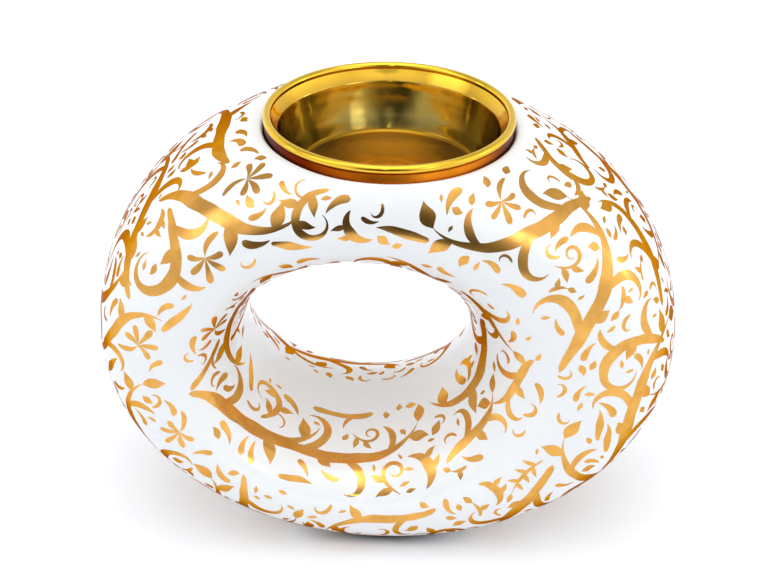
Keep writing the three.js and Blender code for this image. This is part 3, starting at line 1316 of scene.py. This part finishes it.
    def settle(self, strokes: list[Traced], gap: float, crossing: float) -> Array:
        """Keeps the tries that lie on free glaze and clear of the gold so far, one after another. A
        try may cross a stroke, but not run along its edge: the share that lies on gold may hardly
        grow when the clear glaze is counted in.

        Args:
            strokes: The strokes of a motif, each with a row per try.
            gap: Clear glaze to keep round them.
            crossing: The largest share of their cells that may hold gold already.

        Returns:
            The rows that stay.
        """
        fits = np.ones(len(strokes[0].turn), bool)
        for traced in strokes:
            edges = np.stack([traced.left, -traced.right], axis=-1)
            fits &= self.free(*self.across(traced, edges)).all(axis=(1, 2))
        rows = np.flatnonzero(fits)
        kept = [traced.only(rows) for traced in strokes]
        wide = np.concatenate([self.cells(traced, gap) for traced in kept], axis=1)
        bare = np.concatenate([self.cells(traced, 0.0) for traced in kept], axis=1)
        stays = []
        for row, near, own in zip(rows, wide, bare):
            share = self.taken[near].mean()
            if share <= crossing and share - self.taken[own].mean() <= self.graze:
                self.taken[own] = True
                stays.append(row)
        return np.array(stays, int)

    def ribbons(self, traced: Traced) -> tuple[Array, Array, list[Array]]:
        """Makes ribbons of the strokes. A ribbon's section has two edges sunk into the glaze, two
        shoulders and a middle that stand off it, and a flat underside. Each ribbon's film has its own
        thickness, so that crossing ones don't lie in one plane.

        Args:
            traced: The strokes.

        Returns:
            The points, the normals to shade them by, and the faces.
        """
        left, right = traced.left, traced.right
        offsets = np.stack([left + self.edge, left, (left - right) / 2, -right, -right - self.edge], axis=-1)
        turn, roll = self.across(traced, offsets)
        normals = self.ring.normal(turn, roll)
        film = self.film * self.random.uniform(*self.film_range, (len(left), 1, 1))
        lift = film * np.array([0, 1, self.film_crown, 1, 0]) - self.sunk * np.array([1, 0, 0, 0, 1])
        points = self.ring.point(turn, roll) + normals * lift[..., None]
        number = np.arange(offsets.size).reshape(offsets.shape)
        here, ahead = number[:, :-1], number[:, 1:]
        sides = np.stack([here, np.roll(here, -1, 2), np.roll(ahead, -1, 2), ahead], axis=-1)
        faces = [sides.reshape(-1, 4), number[:, 0, ::-1], number[:, -1]]
        return points.reshape(-1, 3), normals.reshape(-1, 3), faces

    def build(self, finish: bpy.types.Material) -> list[bpy.types.Object]:
        """Scatters the motifs round by round and makes a piece for each zone of the ring.

        Args:
            finish: The gold.

        Returns:
            The pieces.
        """
        names = ("gilding_belt_front", "gilding_belt_back", "gilding_slope_front", "gilding_slope_back")
        kept: dict[str, list[Traced]] = {name: [] for name in names}
        for step in self.rounds:
            for motif in step.motifs:
                strokes = self.grown(motif, step.tries, step.size)
                rows = self.settle(strokes, step.gap, step.crossing)
                first = strokes[0].only(rows)
                angle = (first.roll[:, 0] + np.pi) % (2 * np.pi) - np.pi
                zone = 2 * (np.abs(angle) > np.pi / 2) + (angle > 0)
                for traced in strokes:
                    for k, name in enumerate(names):
                        kept[name].append(traced.only(rows[zone == k]))
                log.info("%s: %d of %d", motif.name, len(rows), step.tries)
        return [self.piece(name, [t for t in traced if len(t.turn)], finish) for name, traced in kept.items()]

    def piece(self, name: str, strokes: list[Traced], finish: bpy.types.Material) -> bpy.types.Object:
        """Joins the ribbons of some strokes to one piece that rides on the burner.

        Args:
            name: The piece's name.
            strokes: Its strokes.
            finish: The gold.

        Returns:
            The piece.
        """
        points, normals, faces, first = [], [], [], 0
        for traced in strokes:
            more_points, more_normals, more_faces = self.ribbons(traced)
            points.append(more_points)
            normals.append(more_normals)
            faces += [f + first for f in more_faces]
            first += len(more_points)
        made = mesh_object(name, np.concatenate(points), faces, finish, normals=np.concatenate(normals))
        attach(made, "burner")
        return made


# The finishes


@dataclass(frozen=True)
class PorcelainGlaze:
    """Slip-cast porcelain under a clear glaze that was fired glossy: cold white, mirror-like, with
    the slow waves of a poured glaze in its reflections. The ground foot is bare biscuit, warm and
    dull. Lengths are millimetres, and each relief is a strength and a height."""

    white: str = "#F7F8F9"
    shade: str = "#F3F5F6"
    biscuit: str = "#E9E2D6"
    roughness: Span = (0.06, 0.1)
    biscuit_roughness: float = 0.65
    ior: float = 1.52
    wave_mm: float = 14.0
    wave_relief: Span = (0.5, 0.12)
    wave_range: Span = (0.3, 0.7)  # the waves' values that are glossiest and dullest
    peel_mm: float = 1.6
    peel_relief: Span = (0.5, 0.006)
    foot_mm: float = 0.3  # up to here the glaze is ground off

    def material(self) -> bpy.types.Material:
        """Makes the glaze.

        Returns:
            The material.
        """
        material, tree, place = new_material("glazed_porcelain")
        waves, peel = noise(tree, place, self.wave_mm), noise(tree, place, self.peel_mm)
        height = add_node(tree, "ShaderNodeSeparateXYZ", {"Vector": place}).outputs["Z"]
        bare = compute(tree, "LESS_THAN", height, self.foot_mm * MM)
        gloss = remap(tree, waves, self.wave_range, self.roughness)
        rough = add_node(tree, "ShaderNodeMix", {"Factor": bare, "A": gloss, "B": self.biscuit_roughness})
        principled(tree, {
            "Base Color": blend(tree, bare, blend(tree, waves, self.white, self.shade), self.biscuit),
            "Roughness": rough.outputs["Result"],
            "Normal": bump(tree, peel, self.peel_relief, bump(tree, waves, self.wave_relief)),
            "IOR": self.ior,
        })
        return material


@dataclass(frozen=True)
class SpunBrass:
    """Brass sheet spun over a form and buffed: a mirror whose reflections are drawn out by the fine
    rings that the tool left, and bent by its grooves and by the slow waves of the sheet. Its colour
    holds painted shade and painted reflection: up holds heights in millimetres with the colour at each,
    and across holds places from left to right with the colour that multiplies it there. Each relief is
    a strength and a height in millimetres."""

    name: str
    axis_x: float
    up: Tints
    across: Tints
    roughness: Span
    ring_mm: float = 0.5
    ring_relief: Span = (0.35, 0.006)
    groove_mm: float = 3.0
    groove_relief: Span = (0.6, 0.2)
    wave_mm: float = 7.0
    wave_relief: Span = (0.6, 0.3)
    patch_mm: float = 11.0  # size of the duller patches
    patch_range: Span = (0.4, 0.7)  # the patches' values that are glossiest and dullest
    streak: float = 0.6  # how far the rings draw reflections out
    streak_turn: float = 0.25  # share of a full turn from the rings to the streaks

    def ramp(self, tree: Tree, place: Socket, tints: Tints) -> Socket:
        """Runs from colour to colour along a line.

        Args:
            tree: The material's nodes.
            place: The height, or the place across.
            tints: Places in millimetres, the lowest first, and the colour at each.

        Returns:
            The colour.
        """
        low, high = tints[0][0], tints[-1][0]
        ramp = add_node(tree, "ShaderNodeValToRGB", {"Fac": remap(tree, place, (low * MM, high * MM))})
        stops = ramp.color_ramp.elements
        while len(stops) < len(tints):
            stops.new(0.5)
        for stop, (level, colour) in zip(stops, tints):
            stop.position = (level - low) / (high - low)
            stop.color = linear(colour)
        return ramp.outputs["Color"]

    def material(self) -> bpy.types.Material:
        """Makes the brass. Its rings and grooves are noise of the distance from the axis and of the
        height, and its streaks run round the axis.

        Returns:
            The material.
        """
        material, tree, place = new_material(self.name)
        centre = (-self.axis_x * MM, 0.0, 0.0)
        centred = add_node(tree, "ShaderNodeMapping", {"Vector": place, "Location": centre}).outputs[0]
        parts = add_node(tree, "ShaderNodeSeparateXYZ", {"Vector": centred}).outputs
        flat = add_node(tree, "ShaderNodeVectorMath", {0: centred, 1: (1.0, 1.0, 0.0)}, operation="MULTIPLY")
        radius = add_node(tree, "ShaderNodeVectorMath", {0: flat.outputs[0]}, operation="LENGTH")
        section = add_node(
            tree, "ShaderNodeCombineXYZ", {"X": radius.outputs["Value"], "Z": parts["Z"]}
        ).outputs[0]
        about = add_node(
            tree, "ShaderNodeVectorMath", {0: (0.0, 0.0, 1.0), 1: centred}, operation="CROSS_PRODUCT"
        )
        # painted shade and painted reflection, by height and from left to right
        shade_up, shade_across = self.ramp(tree, parts["Z"], self.up), self.ramp(tree, parts["X"], self.across)
        patches = noise(tree, place, self.patch_mm, 3.0)
        waved = bump(tree, noise(tree, place, self.wave_mm), self.wave_relief)
        grooved = bump(tree, noise(tree, section, self.groove_mm, 0.0), self.groove_relief, waved)
        principled(tree, {
            "Base Color": blend(tree, 1.0, shade_up, shade_across, "MULTIPLY"),
            "Metallic": 1.0,
            "Roughness": remap(tree, patches, self.patch_range, self.roughness),
            "Normal": bump(tree, noise(tree, section, self.ring_mm, 2.0), self.ring_relief, grooved),
            "Anisotropic": self.streak,
            "Anisotropic Rotation": self.streak_turn,
            "Tangent": about.outputs[0],
        })
        return material


@dataclass(frozen=True)
class GoldLustre:
    """Bright gold brushed over the glaze and fired: a thin metal film, orange where it is thick and
    browner where the brush ran dry, a little duller than the glaze under it."""

    thick: str = "#EBB15C"
    thin: str = "#D89E4E"
    edge: str = "#B98560"
    roughness: Span = (0.14, 0.26)
    brush_mm: float = 5.0
    brush_range: Span = (0.35, 0.7)  # the brush marks' values where the gold is thickest and thinnest
    brush_relief: Span = (0.3, 0.02)  # a strength, and a height in millimetres

    def material(self) -> bpy.types.Material:
        """Makes the gold.

        Returns:
            The material.
        """
        material, tree, place = new_material("gold_lustre")
        brush = noise(tree, place, self.brush_mm, 4.0)
        dry = remap(tree, brush, self.brush_range)
        principled(tree, {
            "Base Color": blend(tree, dry, self.thick, self.thin),
            "Metallic": 1.0,
            "Specular Tint": linear(self.edge),
            "Roughness": remap(tree, dry, (0.0, 1.0), self.roughness),
            "Normal": bump(tree, brush, self.brush_relief),
        })
        return material


# The studio


def direction(azimuth: float, elevation: float) -> Vector:
    """Points towards an azimuth, from the front round by the right, and an elevation, in degrees."""
    a, e = math.radians(azimuth), math.radians(elevation)
    return Vector((math.sin(a) * math.cos(e), -math.cos(a) * math.cos(e), math.sin(e)))


@dataclass(frozen=True)
class Glow:
    """A soft round patch of the studio's walls. Its amount of light, which is less than zero where the
    patch is dark, fades from the inner angle to the outer one. All angles are degrees."""

    azimuth: float
    elevation: float
    inner: float
    outer: float
    amount: float


@dataclass
class Studio:
    """A white floor, and pale walls all round that are dark behind the camera and bright at the left,
    at the right and overhead. Lengths are millimetres."""

    walls: str = "#FDFEFF"
    level: float = 0.91  # light of a wall without a glow
    darkest: float = 0.03  # least light that glows below zero leave
    glows: tuple[Glow, ...] = (
        # The front, dark low down
        Glow(-2, 2, 12, 35, -0.84),
        Glow(1, 24, 3, 10, 0.3),
        Glow(5, 36, 5, 15, -0.5),
        Glow(0, 60, 0, 34, 0.3),
        Glow(-46, 34, 0, 34, 0.05),
        Glow(46, 34, 0, 34, 0.15),
        # The sides and the back
        Glow(90, 30, 0, 38, 0.2),
        Glow(90, 6, 0, 38, 0.4),
        Glow(180, 30, 8, 28, -0.1),
        Glow(-130, 8, 0, 38, 0.2),
        Glow(120, 58, 0, 38, -0.35),
        Glow(-120, 58, 0, 38, -0.35),
        # The ceiling
        Glow(0, 86, 0, 38, 1.5),
        # The lamps
        Glow(38, 18, 0, 11, 1.9),
        Glow(-66, 38, 0, 22, 1.0),
        Glow(0, 26, 0, 2.5, 9.0),
        Glow(94, 13, 0, 6, 3.0),
        Glow(-94, 13, 0, 6, 3.0),
    )
    floor_side: float = 3000.0  # the floor's reach to either side and to the back
    floor_front: float = 370.0
    floor_colour: str = "#EEF1F6"
    floor_glow: float = 0.13
    contact: tuple[Span, Span] = ((0.0, 31.0), (24.0, 30.5))  # where the painted shadow under the foot starts and ends to fade
    painted_shadow_colour: str = "#626468"

    def patch(self, tree: Tree, way: Socket, glow: Glow) -> Socket:
        """Works out the light of one patch: the cosine of the angle to its middle, mapped smoothly
        from the outer angle to the inner one.

        Args:
            tree: The world's nodes.
            way: The direction that is looked in.
            glow: The patch.

        Returns:
            Its light.
        """
        middle = direction(glow.azimuth, glow.elevation)
        near = add_node(tree, "ShaderNodeVectorMath", {0: way, 1: middle}, operation="DOT_PRODUCT")
        edges = (math.cos(math.radians(glow.outer)), math.cos(math.radians(glow.inner)))
        return remap(tree, near.outputs["Value"], edges, (0.0, glow.amount), interpolation_type="SMOOTHSTEP")

    def light_walls(self) -> None:
        """Makes the world: the walls' level and its patches. The camera sees plain white."""
        world = bpy.data.worlds.new("studio_walls")
        world.use_nodes = True
        tree = world.node_tree
        tree.nodes.clear()
        way = add_node(tree, "ShaderNodeTexCoord").outputs["Generated"]
        level = self.level
        for glow in self.glows:
            level = compute(tree, "ADD", level, self.patch(tree, way, glow))
        level = compute(tree, "MAXIMUM", level, self.darkest)
        lit = add_node(tree, "ShaderNodeBackground", {"Color": linear(self.walls), "Strength": level})
        seen = add_node(tree, "ShaderNodeBackground", {"Color": linear("#FFFFFF")})
        camera = add_node(tree, "ShaderNodeLightPath").outputs["Is Camera Ray"]
        mixed = add_node(tree, "ShaderNodeMixShader", {0: camera, 1: lit.outputs[0], 2: seen.outputs[0]})
        add_node(tree, "ShaderNodeOutputWorld", {"Surface": mixed.outputs[0]})
        bpy.context.scene.world = world

    def shade(self, tree: Tree, place: Socket) -> Socket:
        """Works out the painted shadow under the foot, which is full up to the first distance of contact
        along X and along Y, and gone at the second.

        Args:
            tree: The floor's nodes.
            place: The place on the floor.

        Returns:
            The share of painted shadow.
        """
        parts = add_node(tree, "ShaderNodeSeparateXYZ", {"Vector": place}).outputs
        shares = [
            remap(
                tree, compute(tree, "ABSOLUTE", parts[axis]), (full * MM, gone * MM), (1.0, 0.0),
                interpolation_type="SMOOTHSTEP",
            )
            for axis, (full, gone) in zip("XY", self.contact)
        ]
        return compute(tree, "MULTIPLY", *shares)

    def lay_floor(self) -> None:
        """Lays the floor, whose front edge is close to the burner, so that the gold reflects the dark
        side over it. To the camera and in reflections the floor glows a little, which makes it white,
        except under the burner's foot, where a painted shadow darkens its colour and takes the glow away."""
        side, front = self.floor_side, -self.floor_front
        corners = np.array([[-side, front, 0.0], [side, front, 0.0], [side, side, 0.0], [-side, side, 0.0]])
        material, tree, place = new_material("floor_paper")
        shade = self.shade(tree, place)
        # the painted shadow under the foot darkens the floor's colour
        colour = blend(tree, shade, self.floor_colour, self.painted_shadow_colour)
        paper = add_node(tree, "ShaderNodeBsdfDiffuse", {"Color": colour})
        light = add_node(tree, "ShaderNodeLightPath").outputs
        seen = compute(tree, "MAXIMUM", light["Is Camera Ray"], light["Is Glossy Ray"])
        seen = compute(tree, "MAXIMUM", seen, light["Is Transmission Ray"])
        strength = compute(tree, "MULTIPLY", seen, compute(tree, "SUBTRACT", 1.0, shade))
        strength = compute(tree, "MULTIPLY", strength, self.floor_glow)
        glow = add_node(tree, "ShaderNodeEmission", {"Strength": strength})
        both = add_node(tree, "ShaderNodeAddShader", {0: paper.outputs[0], 1: glow.outputs[0]})
        add_node(tree, "ShaderNodeOutputMaterial", {"Surface": both.outputs[0]})
        mesh_object("floor", corners, [np.array([[0, 1, 2, 3]])], material)


@dataclass
class PhotoCamera:
    """The photograph's camera. Focal length in pixels, distance and target in millimetres and angles
    in degrees were fitted to the outline of the ring, of its hole and of the cup's rim."""

    focal_pixels: float = 2207.3
    distance: float = 656.08
    azimuth: float = 1.32
    elevation: float = 29.41
    roll: float = 1.01
    target: tuple[float, float, float] = (0.113, 0.0, 72.54)
    sensor: float = 36.0

    def place(self) -> None:
        """Makes the camera and gives it to the scene."""
        data = bpy.data.cameras.new("photo_camera")
        data.sensor_width = self.sensor
        data.lens = self.focal_pixels / IMAGE_WIDTH * self.sensor
        camera = bpy.data.objects.new("photo_camera", data)
        back = direction(self.azimuth, self.elevation)
        right = Vector((0, 0, 1)).cross(back).normalized()
        up = back.cross(right)
        r = math.radians(self.roll)
        across, above = right * math.cos(r) + up * math.sin(r), up * math.cos(r) - right * math.sin(r)
        place = (Vector(self.target) + back * self.distance) * MM
        camera.matrix_world = Matrix.Translation(place) @ Matrix((across, above, back)).transposed().to_4x4()
        bpy.context.scene.collection.objects.link(camera)
        bpy.context.scene.camera = camera


def report(piece: bpy.types.Object) -> None:
    """Logs a piece's name and its number of triangles."""
    piece.data.calc_loop_triangles()
    log.info("%s: %d triangles", piece.name, len(piece.data.loop_triangles))


def main() -> None:
    """Builds the burner, the studio and the camera."""
    logging.basicConfig(level=logging.INFO, format="%(name)s: %(message)s")
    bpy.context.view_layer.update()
    low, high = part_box("porcelain_body")
    well = Well.of_frame()
    ring = RingSurface((high.x - low.x) / MM, (high.y - low.y) / MM, well.axis_x, well.radius)
    pieces = [
        PorcelainBody(ring, well).build(PorcelainGlaze().material()),
        BrassCollar(well.axis_x).build(),
        CharcoalCup(well.axis_x).build(),
        *Gilding(ring, well).build(GoldLustre().material()),
    ]
    for piece in pieces:
        report(piece)
    studio = Studio()
    studio.lay_floor()
    studio.light_walls()
    PhotoCamera().place()
    bpy.context.scene.view_settings.view_transform = "Standard"


if __name__ == "__main__":
    main()
